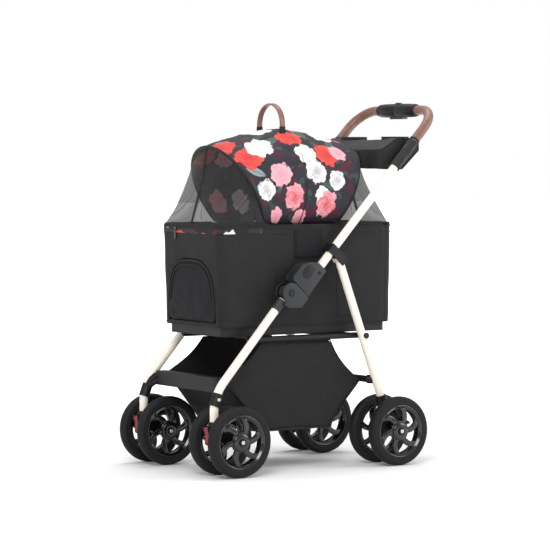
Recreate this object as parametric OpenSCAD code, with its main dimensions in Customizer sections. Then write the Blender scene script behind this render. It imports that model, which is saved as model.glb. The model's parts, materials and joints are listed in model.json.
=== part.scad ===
// Folding pet stroller with a lift-off carrier. Millimetres, +Z up, the front faces -Y, +X is its left side.
// The origin is on the floor under the middle of the stroller.

/* [Running gear] */
// Diameter of every wheel
wheel_d = 184; // [150:1:200]
// Width of one tyre
tyre_w = 30; // [24:1:34]
// Distance from the middle of a wheel pair to each wheel's middle plane
pair_offset = 45; // [42:1:50]
// Distance from the middle of the stroller to the plane of each side's tubes
track_x = 175; // [170:1:185]
// Position of the front axles along the stroller
front_axle_y = -297; // [-310:1:-290]
// Position of the rear axles along the stroller
rear_axle_y = 205; // [200:1:220]
// How far each caster's stem stands in front of its axle
trail = 48; // [40:1:55]

/* [Frame] */
// Outer diameter of the frame tubes
tube_d = 22; // [20:0.5:24]
// Height of the fold pivot
fold_z = 467; // [455:1:475]
// Position of the fold pivot along the stroller
fold_y = -118; // [-125:1:-110]
// Slope of the front legs above the pivot line
leg_tilt = 48.6; // [47:0.1:50]
// Slope of the push tubes
push_tilt = 47.1; // [46:0.1:48]
// How far the push tubes lie behind the fold pivot
push_offset = 30; // [28:1:34]
// Distance from the fold pivot to the handle's crossbar
handle_reach = 680; // [670:1:695]
// Width of the base tray's supporting frame, rail to rail
seat_frame_w = 306; // [304:1:308]

/* [Carrier] */
// Outside width of the fabric cabin
cabin_w = 288; // [280:1:290]
// Front face of the cabin
cabin_front_y = -300; // [-305:1:-295]
// Rear face of the cabin
cabin_rear_y = 236; // [230:1:240]
// Underside of the cabin walls
cabin_z = 382; // [380:1:385]
// Top edge of the cabin walls
rim_z = 643; // [640:1:645]
// Slant height of the canopy hoops above the rim
hoop_h = 225; // [220:1:228]
// Radius of the canopy hoops
hoop_r = 140; // [136:1:142]

/* [Hidden] */
$fn = 48;

wheel_r = wheel_d / 2;
tube_r = tube_d / 2;
bore_r = tube_r - 1.5;
axle_r = 5;
run_gap = 0.05;
stem_y = front_axle_y - trail;
// The front leg rises from its foot, bends and runs straight to the fold pivot.
foot_z = 143;
bend_r = 119;
bend_angle = 90 - leg_tilt;
bend_run = bend_r * tan(bend_angle / 2);
bend_start_z = fold_z - (fold_y - stem_y) * tan(leg_tilt) - bend_run;
leg_run = (fold_y - stem_y) / cos(leg_tilt) - bend_run;
leg_top_gap = 26;
bend_lap = 1;
pin_r = 2.5;
lock_pin = [stem_y - 20.6, 126];
brake_pin = [rear_axle_y + 23, 120];
// Push frame stations, measured along the push tubes from the fold pivot.
push_start = 40;
wrap_start = 566;
wrap_r = 13;
handle_corner_r = 70;
clip_mid = 172;
tray_sleeve = [470, 562];
// Rear leg: top end, foot and the pivot that it shares with the seat frame.
leg_top = [43, 552];
leg_foot = [188, 163];
seat_z = 346.4;
seat_pivot_y = 124.5;
rail_r = 8;
rear_bar = [150, 228];
// Organiser tray behind the cabin.
tray_floor_z = 785;
tray_top_z = 870;
well_r = 34;
well_x = 96;
well_y = 284;
well_floor_z = 805;
// Carrier
wall = 5;
corner_r = 24;
base_z = 355;
door_w = 228;
door_h = 160;
door_z = 392;
door_gap = 0.6;
front_foot_y = -153;
rear_foot_y = 78;
front_lean = -27;
rear_lean = 26;
hoop_tube_r = 3;
hoop_gap = 6;
shell_t = 3;
canopy_mid = [0, -54, 720];
carry_y = -54;
carry_z = 884;
carry_leg = 20;
carry_r = 53;
pull_x = -68;

// ---- helpers ----

// A straight round bar from point p to point q.
module rod(p, q, r) {
    v = q - p;
    translate(p) rotate([0, acos(v.z / norm(v)), atan2(v.y, v.x)]) cylinder(h = norm(v), r = r);
}

// A flat plate: its outline is drawn in the Y-Z plane and it spans x0 to x1.
module side_plate(x0, x1) {
    translate([x0, 0, 0]) rotate([90, 0, 90]) linear_extrude(x1 - x0) children();
}

module mirrored(side) {
    if (side > 0) children();
    else mirror([1, 0, 0]) children();
}

// Puts +Y along the push tubes and +Z square to them, at the fold pivot.
module at_push() {
    translate([0, fold_y, fold_z]) rotate([push_tilt, 0, 0]) children();
}

// The same along the front legs.
module at_leg() {
    translate([0, fold_y, fold_z]) rotate([leg_tilt, 0, 0]) children();
}

module rounded_rect(x0, x1, y0, y1, r) {
    translate([x0 + r, y0]) square([x1 - x0 - 2 * r, y1 - y0]);
    translate([x0, y0 + r]) square([x1 - x0, y1 - y0 - 2 * r]);
    for (x = [x0 + r, x1 - r]) for (y = [y0 + r, y1 - r]) translate([x, y]) circle(r);
}

// ---- running gear ----

module tyre(x, y) {
    half = tyre_w / 2;
    shoulder = 9;
    translate([x, y, wheel_r]) rotate([0, 90, 0]) rotate_extrude() {
        translate([70, shoulder - half]) square([wheel_r - 70, tyre_w - 2 * shoulder]);
        translate([70, -half]) square([wheel_r - 70 - shoulder, tyre_w]);
        for (z = [shoulder - half, half - shoulder]) translate([wheel_r - shoulder, z]) circle(shoulder);
    }
}

// Dished rim with six windows between its spokes; face is +1 where its open side points to +X.
module rim(x, y, face) {
    spokes = 6;
    window = 36;
    translate([x, y, wheel_r]) rotate([0, 90 * face, 0]) difference() {
        union() {
            rotate_extrude() {
                translate([59, -13]) square([11, 26]);
                translate([axle_r + run_gap, 0]) square([57, 8]);
                translate([axle_r + run_gap, -22]) square([11, 36]);
                translate([axle_r + run_gap, -6]) square([18, 17]);
            }
        }
        for (k = [0:spokes - 1]) rotate(k * 360 / spokes) translate([0, 0, -1])
            rotate_extrude(angle = window) translate([25, 0]) square([31, 10]);
    }
}

module front_leg(side) {
    color("antiquewhite") mirrored(side) difference() {
        union() {
            rod([track_x, stem_y, foot_z], [track_x, stem_y, bend_start_z], tube_r);
            translate([track_x, stem_y + bend_r, bend_start_z]) rotate([90, 0, 90])
                rotate(180 - bend_angle - bend_lap) rotate_extrude(angle = bend_angle + 2 * bend_lap)
                    translate([bend_r, 0]) circle(tube_r + 0.2);
            at_leg() rod([track_x, -leg_run, 0], [track_x, -leg_top_gap, 0], tube_r);
        }
        rod([track_x, stem_y, foot_z - 1], [track_x, stem_y, bend_start_z - 1], bore_r);
        at_leg() rod([track_x, 1 - leg_run, 0], [track_x, 1 - leg_top_gap, 0], bore_r);
    }
}

// Swivel fork between a pair of front wheels: stem, barrel, arm, axle and axle heads.
module caster_fork(side) {
    barrel_top = foot_z - 0.5;
    color("black") mirrored(side) {
        rod([track_x, stem_y, 110], [track_x, stem_y, bend_start_z - 2], bore_r - run_gap);
        rod([track_x, stem_y, 104], [track_x, stem_y, barrel_top], 15);
        side_plate(track_x - 9, track_x + 9) polygon([
            [stem_y - 13, 106], [stem_y - 13, 134], [stem_y + 12, 140], [front_axle_y + 10, 112],
            [front_axle_y + 14, 82], [front_axle_y - 12, 80]
        ]);
        for (s = [-1, 1]) translate([track_x + s * 10.6 - 1.6, lock_pin.x - 5, lock_pin.y - 7])
            cube([3.2, 18, 14]);
        rod([track_x - 12, lock_pin.x, lock_pin.y], [track_x + 12, lock_pin.x, lock_pin.y], pin_r);
        rod([track_x - 22.4, front_axle_y, wheel_r], [track_x + 22.4, front_axle_y, wheel_r], 16);
        axle(front_axle_y);
    }
}

// Axle through a pair of wheels, with a round head outside each hub.
module axle(y) {
    end = pair_offset + 14.4;
    rod([track_x - end - 4, y, wheel_r], [track_x + end + 4, y, wheel_r], axle_r);
    for (s = [-1, 1]) rod([track_x + s * end, y, wheel_r], [track_x + s * (end + 5), y, wheel_r], 9);
}

// Lever that stops the caster from swivelling, on the front of the barrel.
module caster_lock(side) {
    y = lock_pin.x;
    z = lock_pin.y;
    color("firebrick") mirrored(side) side_plate(track_x - 8.5, track_x + 8.5) difference() {
        union() {
            translate([y, z]) circle(5);
            polygon([
                [y + 5, z], [y + 5, z - 38], [y + 1, z - 42], [y - 2, z - 38], [y - 2, z - 16], [y - 5, z]
            ]);
        }
        translate([y, z]) circle(pin_r + run_gap);
    }
}

// Plate between the front legs, with an arm and a sleeve at each end.
module front_crossbar() {
    y = stem_y + 24;
    color("black") {
        translate([-150, y, 214]) cube([300, 12, 38]);
        translate([-146, y, 246]) cube([292, 26, 6]);
        for (side = [-1, 1]) {
            rod([side * 146, y + 6, 230], [side * track_x, stem_y + 8, 206], 9);
            rod([side * track_x, stem_y + 1, 182], [side * track_x, stem_y + 13, 214], 14);
        }
    }
}

// ---- fold joint ----

module joint_pin(side) {
    rod([track_x - 21.5, 0, 0], [track_x + 21.5, 0, 0], axle_r);
    for (s = [-1, 1]) rod([track_x + s * 18.8, 0, 0], [track_x + s * 21.5, 0, 0], 8);
}

// Two cheeks, the block between them that grips the front leg, and the pivot pin.
module lower_joint(side) {
    cheek = [13.3, 19];
    color("dimgray") mirrored(side) at_leg() {
        for (x = [-cheek.y, cheek.x]) side_plate(track_x + x, track_x + x + cheek.y - cheek.x) {
            circle(26);
            polygon([[-39, -4], [-33, -21], [-8, -50], [20, -50], [26, -44], [26, 0]]);
        }
        side_plate(track_x - cheek.x, track_x + cheek.x)
            polygon([[-39, -4], [-33, -21], [-8, -50], [8, -50], [3, -27], [-14, -24], [-28, -12]]);
        rod([track_x, -60, 0], [track_x, -28, 0], 12.8);
        joint_pin(side);
    }
}

// Tongue on the pivot pin, and the channel-shaped shell that grips the push tube.
module upper_joint(side) {
    color("dimgray") mirrored(side) at_push() difference() {
        union() {
            side_plate(track_x - 12.8, track_x + 12.8) {
                circle(20);
                polygon([[10, -17.3], [0, 0], [19, -6], [34, 0], [40, -40], [28, -43]]);
            }
            side_plate(track_x - 19, track_x + 19) polygon([
                [28, 18], [36, 24], [77, 24], [98, 10], [114, -12], [114, -43], [60, -44], [28, -46]
            ]);
        }
        rod([track_x - 30, 0, 0], [track_x + 30, 0, 0], axle_r + run_gap);
        side_plate(track_x - 13.3, track_x + 13.3) polygon([[20, -5], [20, 40], [98, 40]]);
        rod([track_x, push_start - 1, -push_offset], [track_x, 120, -push_offset], tube_r);
        translate([track_x + 11.6, 58, -14]) cube([10, 36, 26]);
    }
}

// Sliding latch in the outer face of the upper joint.
module joint_latch(side) {
    color("black") mirrored(side) at_push() {
        translate([track_x + 12, 59, -11]) cube([6, 22, 20]);
        for (k = [0:2]) translate([track_x + 17, 62 + 6 * k, -9]) cube([2.5, 3, 16]);
    }
}

// ---- push frame ----

module push_tube(side) {
    color("antiquewhite") mirrored(side) at_push() difference() {
        rod([track_x, push_start, -push_offset], [track_x, wrap_start, -push_offset], tube_r);
        rod([track_x, push_start - 1, -push_offset], [track_x, wrap_start + 1, -push_offset], bore_r);
    }
}

// Clip around the push tube with two ears that flank the rear leg's cap.
module leg_clip(side) {
    color("black") mirrored(side) at_push() difference() {
        translate([track_x - 17, clip_mid - 12, -75]) cube([34, 24, 61]);
        rod([track_x, 100, -push_offset], [track_x, 300, -push_offset], tube_r);
        translate([track_x - 13.6, clip_mid - 20, -90]) cube([27.2, 40, 44]);
    }
}

// Leather-wrapped U of the handle.
module handle_bar() {
    straight_end = handle_reach - handle_corner_r;
    half = track_x - handle_corner_r;
    module run(r, extra) {
        for (x = [-track_x, track_x]) rod([x, wrap_start - extra, 0], [x, straight_end, 0], r);
        for (side = [0, 1]) mirror([side, 0, 0]) translate([half, straight_end, 0])
            rotate_extrude(angle = 90) translate([handle_corner_r, 0]) circle(r);
        rod([-half, handle_reach, 0], [half, handle_reach, 0], r);
    }
    color("sienna") at_push() translate([0, 0, -push_offset]) difference() {
        run(wrap_r, 0);
        run(bore_r, 1);
    }
}

// Everything on the fold grip is placed from the middle of the handle's crossbar, square to the floor.
module at_grip() {
    translate([
        0,
        fold_y + handle_reach * cos(push_tilt) + push_offset * sin(push_tilt),
        fold_z + handle_reach * sin(push_tilt) - push_offset * cos(push_tilt)
    ]) children();
}

module fold_grip() {
    color("black") at_grip() difference() {
        union() {
            rod([-80, 0, 0], [80, 0, 0], 18.5);
            for (s = [-1, 1]) rod([s * 74, 0, 0], [s * 84, 0, 0], 16.5);
        }
        rod([-90, 0, 0], [90, 0, 0], wrap_r);
        cylinder(h = 40, r = 9.4);
        translate([-30.5, -8.5, -40]) cube([61, 17, 30]);
    }
}

module grip_button() {
    color("black") at_grip() translate([0, 0, 15.6]) cylinder(h = 6, r = 9);
}

module grip_trigger() {
    color("black") at_grip() translate([-30, -8, -23.5]) cube([60, 16, 7]);
}

// Organiser tray between the push tubes, with two cup wells, a pocket and a sleeve on each tube.
module parent_tray() {
    color("#26282b") {
        difference() {
            side_plate(-150, 150) polygon([
                [206, tray_floor_z], [322, tray_floor_z], [322, tray_top_z], [248, tray_top_z], [206, 842]
            ]);
            for (s = [-1, 1]) translate([s * well_x, well_y, well_floor_z]) cylinder(h = 100, r = well_r);
            translate([-54, 230, tray_floor_z + 6]) cube([108, 84, 120]);
        }
        for (side = [-1, 1]) mirrored(side) at_push() difference() {
            union() {
                rod([track_x, tray_sleeve[0], -push_offset], [track_x, tray_sleeve[1], -push_offset], 13.4);
                translate([148, tray_sleeve[0], -push_offset - 4])
                    cube([20, tray_sleeve[1] - tray_sleeve[0], 8]);
            }
            rod([track_x, 400, -push_offset], [track_x, 600, -push_offset], tube_r);
        }
    }
}

// ---- rear frame ----

module rear_leg(side) {
    color("antiquewhite") mirrored(side) difference() {
        union() {
            rod([track_x, leg_top.x, leg_top.y], [track_x, leg_foot.x, leg_foot.y], tube_r);
            rod([track_x - 12.8, leg_top.x, leg_top.y], [track_x + 12.8, leg_top.x, leg_top.y], 12);
        }
        let (v = (leg_foot - leg_top) / norm(leg_foot - leg_top), a = leg_top + 24 * v, b = leg_foot + v)
            rod([track_x, a.x, a.y], [track_x, b.x, b.y], bore_r);
        rod([track_x - 20, seat_pivot_y, seat_z], [track_x + 20, seat_pivot_y, seat_z], 4 + run_gap);
    }
}

module rear_crossbar() {
    color("black") {
        rod([-158, rear_bar.x, rear_bar.y], [158, rear_bar.x, rear_bar.y], 9);
        for (side = [-1, 1]) mirrored(side)
            rod([156, rear_bar.x, rear_bar.y], [track_x - 6, rear_bar.x + 11, rear_bar.y], 12);
    }
}

// Housing between a pair of rear wheels, with its axle.
module axle_block(side) {
    color("black") mirrored(side) {
        rod([track_x, leg_foot.x - 8, leg_foot.y + 22], [track_x, rear_axle_y - 3, wheel_r + 18], 14.5);
        side_plate(track_x - 10, track_x + 10) polygon([
            [184, 150], [rear_axle_y + 8, 140], [rear_axle_y + 20, 104], [rear_axle_y + 14, 80],
            [rear_axle_y - 14, 80], [186, 120]
        ]);
        rod([track_x - 22.4, rear_axle_y, wheel_r], [track_x + 22.4, rear_axle_y, wheel_r], 17);
        for (s = [-1, 1]) translate([track_x + s * 15 - 1.8, rear_axle_y - 6, brake_pin.y - 7])
            cube([3.6, 35, 14]);
        rod([track_x - 16, rear_axle_y + 2, brake_pin.y], [track_x + 16, rear_axle_y + 2, brake_pin.y], 6);
        rod([track_x - 16, brake_pin.x, brake_pin.y], [track_x + 16, brake_pin.x, brake_pin.y], pin_r);
        axle(rear_axle_y);
    }
}

module brake_pedal(side) {
    y = brake_pin.x;
    z = brake_pin.y;
    color("black") mirrored(side) side_plate(track_x - 12.8, track_x + 12.8) difference() {
        union() {
            translate([y, z]) circle(6);
            polygon([[y, z - 6], [y, z + 6], [y + 36, z - 8], [y + 41, z - 14], [y + 34, z - 16]]);
        }
        translate([y, z]) circle(pin_r + run_gap);
    }
}

// ---- seat frame and basket ----

// Two side rails under the carrier, the cross rails it rests on, and the pins of the rear legs.
module seat_frame() {
    front_y = fold_y - (fold_z - seat_z) / tan(leg_tilt);
    rail_x = seat_frame_w / 2;
    color("black") {
        for (side = [-1, 1]) mirrored(side) {
            rod([rail_x, front_y, seat_z], [rail_x, seat_pivot_y, seat_z], rail_r);
            rod([rail_x, front_y, seat_z], [track_x, front_y, seat_z], rail_r);
            rod([rail_x, seat_pivot_y, seat_z], [track_x + 13, seat_pivot_y, seat_z], 4);
            rod([track_x + 11.5, seat_pivot_y, seat_z], [track_x + 14.5, seat_pivot_y, seat_z], 8);
        }
        for (y = [-170, 95]) rod([-rail_x, y, seat_z], [rail_x, y, seat_z], rail_r);
    }
}

// Basket: two side panels and a sling from the front crossbar to the rear one, open in front and behind.
module basket() {
    half = 142;
    outline = [[-178, 337], [-300, 243], [-185, 105], [39, 105], [137, 224], [39, 337]];
    inner = [[-296, 244], [-184, 108], [38, 108], [134, 226]];
    color("#232427") {
        for (x = [-half, half - 3]) side_plate(x, x + 3) polygon(outline);
        side_plate(-half, half)
            polygon([outline[1], outline[2], outline[3], outline[4], inner[3], inner[2], inner[1], inner[0]]);
    }
}

// ---- carrier ----

module base_tray() {
    edge = 10;
    half = cabin_w / 2;
    color("#1d1e20") {
        translate([0, 0, base_z]) linear_extrude(cabin_z - base_z) difference() {
            rounded_rect(edge - half, half - edge, cabin_front_y + edge, cabin_rear_y - edge, 18);
            rounded_rect(
                edge + 4 - half, half - edge - 4, cabin_front_y + edge + 4, cabin_rear_y - edge - 4, 14
            );
        }
        translate([0, 0, cabin_z - 4]) linear_extrude(4)
            rounded_rect(-half, half, cabin_front_y, cabin_rear_y, corner_r);
    }
}

module cabin_shell() {
    half = cabin_w / 2;
    band = 8;
    translate([0, 0, cabin_z]) linear_extrude(rim_z - cabin_z) difference() {
        rounded_rect(-half, half, cabin_front_y, cabin_rear_y, corner_r);
        rounded_rect(wall - half, half - wall, cabin_front_y + wall, cabin_rear_y - wall, corner_r - wall);
    }
    translate([0, 0, rim_z - 22]) linear_extrude(20) difference() {
        rounded_rect(-half - 1, half + 1, cabin_front_y - band, cabin_rear_y + band, corner_r + 6);
        rounded_rect(1 - half, half - 1, cabin_front_y + 1, cabin_rear_y - 1, corner_r - 1);
    }
}

// Arched outline of the front door, drawn from its bottom edge up.
module door_outline(grow) {
    steps = 24;
    w = door_w / 2 + grow;
    h = door_h + grow;
    polygon([for (k = [0:steps]) let (a = 180 * k / steps)
        [w * sign(cos(a)) * pow(abs(cos(a)), 0.65), h * pow(sin(a), 0.65) - grow * (1 - sin(a))]]);
}

module door_plate(grow, y0, y1) {
    translate([0, y1, door_z]) rotate([90, 0, 0]) linear_extrude(y1 - y0) door_outline(grow);
}

module cabin_front() {
    color("#232427") difference() {
        intersection() {
            cabin_shell();
            translate([-200, cabin_front_y - 20, 300]) cube([400, 20 + corner_r, 400]);
        }
        door_plate(door_gap, cabin_front_y - 12, cabin_front_y + 20);
    }
}

module front_door() {
    color("#2b2c30") {
        door_plate(0, cabin_front_y, cabin_front_y + 4);
        translate([-14, cabin_front_y - 5, door_z + 6]) cube([28, 5.5, 8]);
    }
}

module cabin_rear() {
    color("#232427") intersection() {
        cabin_shell();
        translate([-200, cabin_rear_y - corner_r, 300]) cube([400, 20 + corner_r, 400]);
    }
}

module cabin_side(side) {
    color("#232427") mirrored(side) intersection() {
        cabin_shell();
        translate([60, cabin_front_y + corner_r, 300])
            cube([200, cabin_rear_y - cabin_front_y - 2 * corner_r, 400]);
    }
}

// ---- canopy ----

// A point on a hoop that leans by lean degrees from its feet at foot_y; a is the angle around it.
function hoop_point(foot_y, lean, height, radius, a) =
    let (h = height - radius + radius * sin(a))
    [radius * cos(a), foot_y + h * sin(lean), rim_z + h * cos(lean)];
// Angle at which a hoop meets the rim.
function foot_angle(height, radius) = -asin((height - radius) / radius);

steps_round = 18;
steps_along = 8;
function hoop_row(foot_y, lean, height, radius, lift) =
    let (a0 = foot_angle(height, radius) + lift)
    [for (k = [0:steps_round])
        hoop_point(foot_y, lean, height, radius, a0 + (180 - 2 * a0) * k / steps_round)];

// Hood sections from the front hoop to the rear hoop, highest in the middle.
function hood_row(s) =
    let (swell = sin(180 * s))
    hoop_row(
        front_foot_y + hoop_gap + (rear_foot_y - front_foot_y - 2 * hoop_gap) * s,
        front_lean + (rear_lean - front_lean) * s,
        hoop_h + 22 * swell, hoop_r + 3 * swell, 3
    );

// The line on the rim that an end panel is sewn to: down one side, along the end and back up the other side.
function rim_row(foot_y, end_y) =
    let (x = cabin_w / 2 - 6, side = abs(end_y - foot_y))
    let (total = 2 * side + 2 * x, dir = sign(end_y - foot_y))
    [for (k = [0:steps_round]) let (d = total * k / steps_round)
        d < side ? [x, foot_y + dir * d, rim_z]
        : d < side + 2 * x ? [x - (d - side), end_y, rim_z] : [-x, end_y - dir * (d - side - 2 * x), rim_z]];

function blend_rows(a, b, t) = [for (k = [0:len(a) - 1]) a[k] + (b[k] - a[k]) * t];
function inset(p) = p + (canopy_mid - p) * shell_t / norm(canopy_mid - p);
function split(q) = [[q[0], q[1], q[2]], [q[0], q[2], q[3]]];

// A closed skin of shell_t around the canopy's inside, over a grid of rows of points.
module skin(grid) {
    n = len(grid);
    m = len(grid[0]);
    under = n * m;
    quads = concat(
        [for (i = [0:n - 2]) for (j = [0:m - 2]) let (b = i * m + j) [b, b + 1, b + m + 1, b + m]],
        [for (i = [0:n - 2]) for (j = [0:m - 2]) let (b = under + i * m + j) [b, b + m, b + m + 1, b + 1]],
        [for (j = [0:m - 2]) [j, under + j, under + j + 1, j + 1]],
        [for (j = [0:m - 2]) let (b = (n - 1) * m + j) [b, b + 1, under + b + 1, under + b]],
        [for (i = [0:n - 2]) let (b = i * m) [b, b + m, under + b + m, under + b]],
        [for (i = [0:n - 2]) let (b = i * m + m - 1) [b, under + b, under + b + m, b + m]]
    );
    points = concat([for (row = grid) for (p = row) p], [for (row = grid) for (p = row) inset(p)]);
    polyhedron(points, [for (q = quads) for (f = split(q)) f]);
}

module hood() {
    color("#7a3a48") skin([for (i = [0:steps_along]) hood_row(i / steps_along)]);
}

// An end panel of mesh from the rim to just short of a hoop.
module end_mesh(foot_y, lean, end_y) {
    hoop = hoop_row(foot_y, lean, hoop_h - 3, hoop_r - 1, 3);
    rim = rim_row(foot_y, end_y);
    rows = [for (t = [0, 0.35, 0.7, 1]) blend_rows(hoop, rim, t)];
    color("#55585c") skin(rows);
}

module front_mesh() {
    end_mesh(front_foot_y - hoop_gap, front_lean, cabin_front_y + wall);
}

module rear_mesh() {
    end_mesh(rear_foot_y + hoop_gap, rear_lean, cabin_rear_y - wall);
}

module hoop(foot_y, lean) {
    a0 = foot_angle(hoop_h, hoop_r) + 3.5;
    color("black") translate([0, foot_y, rim_z]) rotate([-lean, 0, 0]) translate([0, 0, hoop_h - hoop_r])
        rotate([90, 0, 0]) rotate(a0) rotate_extrude(angle = 180 - 2 * a0) translate([hoop_r, 0])
            circle(hoop_tube_r);
}

// Leather strap loop on top of the hood.
module carry_handle() {
    strap = 3;
    half = 8;
    color("sienna") translate([0, carry_y, carry_z]) {
        for (s = [-1, 1]) translate([s * (carry_r + strap / 2) - strap / 2, -half, -3])
            cube([strap, 2 * half, carry_leg + 3]);
        translate([0, half, carry_leg]) rotate([90, 0, 0]) linear_extrude(2 * half) difference() {
            circle(carry_r + strap);
            circle(carry_r);
            translate([-2 * carry_r, -2 * carry_r]) square([4 * carry_r, 2 * carry_r]);
        }
    }
}

module zipper_pull() {
    y = cabin_front_y - 12;
    color("silver") {
        translate([pull_x - 3, y, 604]) cube([6, 2.5, 32]);
        rod([pull_x - 5, y + 1, 634], [pull_x + 5, y + 1, 634], 2);
    }
}

// ---- the parts ----

front_leg(1);  // left_front_leg
front_leg(-1);  // right_front_leg
front_crossbar();
lower_joint(1);  // left_lower_joint
lower_joint(-1);  // right_lower_joint
seat_frame();
basket();
caster_fork(1);  // left_caster_fork
caster_fork(-1);  // right_caster_fork
caster_lock(1);  // left_caster_lock
caster_lock(-1);  // right_caster_lock

// The eight wheels: each has a foam tyre on a rim.
for (side = [-1, 1]) for (front = [true, false]) for (outer = [true, false]) {
    name = str(side > 0 ? "left_" : "right_", front ? "front_" : "rear_", outer ? "outer_" : "inner_");
    x = side * (track_x + (outer ? pair_offset : -pair_offset));
    y = front ? front_axle_y : rear_axle_y;
    color("#202022") tyre(x, y);
    color("#141416") rim(x, y, outer ? side : -side);
}

push_tube(1);  // left_push_tube
push_tube(-1);  // right_push_tube
upper_joint(1);  // left_upper_joint
upper_joint(-1);  // right_upper_joint
joint_latch(1);  // left_joint_latch
joint_latch(-1);  // right_joint_latch
leg_clip(1);  // left_leg_clip
leg_clip(-1);  // right_leg_clip
handle_bar();
fold_grip();
grip_button();
grip_trigger();
parent_tray();
rear_leg(1);  // left_rear_leg
rear_leg(-1);  // right_rear_leg
rear_crossbar();
axle_block(1);  // left_axle_block
axle_block(-1);  // right_axle_block
brake_pedal(1);  // left_brake_pedal
brake_pedal(-1);  // right_brake_pedal
base_tray();
cabin_front();
cabin_rear();
cabin_side(1);  // cabin_left
cabin_side(-1);  // cabin_right
front_door();
hood();
hoop(front_foot_y, front_lean);  // front_hoop
hoop(rear_foot_y, rear_lean);  // rear_hoop
front_mesh();
rear_mesh();
carry_handle();
zipper_pull();
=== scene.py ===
"""Looks of a folding pet stroller: tubes, joints, double wheels, cabin, rose-print hood, net and leather."""
import json
import math

import bpy
from mathutils import Matrix, Vector, noise


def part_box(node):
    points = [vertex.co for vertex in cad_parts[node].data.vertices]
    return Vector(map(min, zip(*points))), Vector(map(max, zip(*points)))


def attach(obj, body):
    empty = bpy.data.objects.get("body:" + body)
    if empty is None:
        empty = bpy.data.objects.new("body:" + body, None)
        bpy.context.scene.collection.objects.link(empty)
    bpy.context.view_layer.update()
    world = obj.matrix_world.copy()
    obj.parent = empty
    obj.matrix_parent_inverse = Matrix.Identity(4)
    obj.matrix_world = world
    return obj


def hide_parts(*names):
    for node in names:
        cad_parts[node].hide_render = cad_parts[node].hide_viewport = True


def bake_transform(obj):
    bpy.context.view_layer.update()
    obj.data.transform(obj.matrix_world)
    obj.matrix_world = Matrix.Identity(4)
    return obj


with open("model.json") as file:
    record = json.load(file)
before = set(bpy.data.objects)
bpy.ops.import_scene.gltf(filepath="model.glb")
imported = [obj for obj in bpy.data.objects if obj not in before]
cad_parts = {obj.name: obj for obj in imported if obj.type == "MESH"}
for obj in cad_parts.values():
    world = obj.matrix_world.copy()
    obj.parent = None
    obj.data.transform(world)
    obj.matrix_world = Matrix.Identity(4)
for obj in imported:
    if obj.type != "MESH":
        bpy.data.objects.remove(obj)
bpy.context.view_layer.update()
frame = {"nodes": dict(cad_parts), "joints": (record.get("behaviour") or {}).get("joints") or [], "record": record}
bpy.ops.object.select_all(action="DESELECT")

MM = 0.001
SIDES = {"left": 1, "right": -1}


# ---------------------------------------------------------------- places, taken from the frame

def mid(node):
    low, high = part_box(node)
    return (Vector(low) + Vector(high)) / 2


def joint_named(name):
    return next(j for j in frame["joints"] if j["name"] == name)


FOLD = Vector(joint_named("frame_fold")["pos_m"])
TRACK_X = mid("left_push_tube").x
LEG_TILT = math.radians(48.6)
PUSH_TILT = math.radians(47.1)
PUSH_OFFSET = -30 * MM
WRAP_START = 566 * MM
CABIN_LOW, CABIN_HIGH = Vector(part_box("base_tray")[0]), Vector(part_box("base_tray")[1])
RIM_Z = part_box("cabin_left")[1][2]
HALF_W = CABIN_HIGH.x
FRONT_Y, REAR_Y = CABIN_LOW.y, CABIN_HIGH.y
FRONT_FOOT_Y = joint_named("front_hoop_fold")["pos_m"][1]
REAR_FOOT_Y = joint_named("rear_hoop_fold")["pos_m"][1]
FRONT_LEAN = math.radians(-27)
REAR_LEAN = math.radians(26)
HOOP_H = 225 * MM
HOOP_R = 140 * MM
GRIP = mid("fold_grip")


# ---------------------------------------------------------------- shader helpers

class Shader:
    """One Principled material and its node tree, with short ways to add and link nodes."""

    def __init__(self, name, rough=0.6, metal=0.0, **sockets):
        self.mat = bpy.data.materials.new(name)
        self.mat.use_nodes = True
        self.tree = self.mat.node_tree
        self.bsdf = self.tree.nodes["Principled BSDF"]
        self.bsdf.inputs["Roughness"].default_value = rough
        self.bsdf.inputs["Metallic"].default_value = metal
        for key, value in sockets.items():
            self.bsdf.inputs[key.replace("_", " ")].default_value = value

    def node(self, kind, **settings):
        made = self.tree.nodes.new(kind)
        for key, value in settings.items():
            setattr(made, key, value)
        return made

    def link(self, out, into):
        self.tree.links.new(out, into)

    def coords(self, output="Object"):
        return self.node("ShaderNodeTexCoord").outputs[output]

    def group(self, group, **values):
        made = self.node("ShaderNodeGroup", node_tree=group)
        for key, value in values.items():
            socket = made.inputs[key.replace("_", " ")]
            if isinstance(value, bpy.types.NodeSocket):
                self.link(value, socket)
            else:
                socket.default_value = value
        return made

    def bump(self, height, strength, distance):
        made = self.node("ShaderNodeBump")
        made.inputs["Strength"].default_value = strength
        made.inputs["Distance"].default_value = distance
        self.link(height, made.inputs["Height"])
        self.link(made.outputs["Normal"], self.bsdf.inputs["Normal"])


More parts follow.
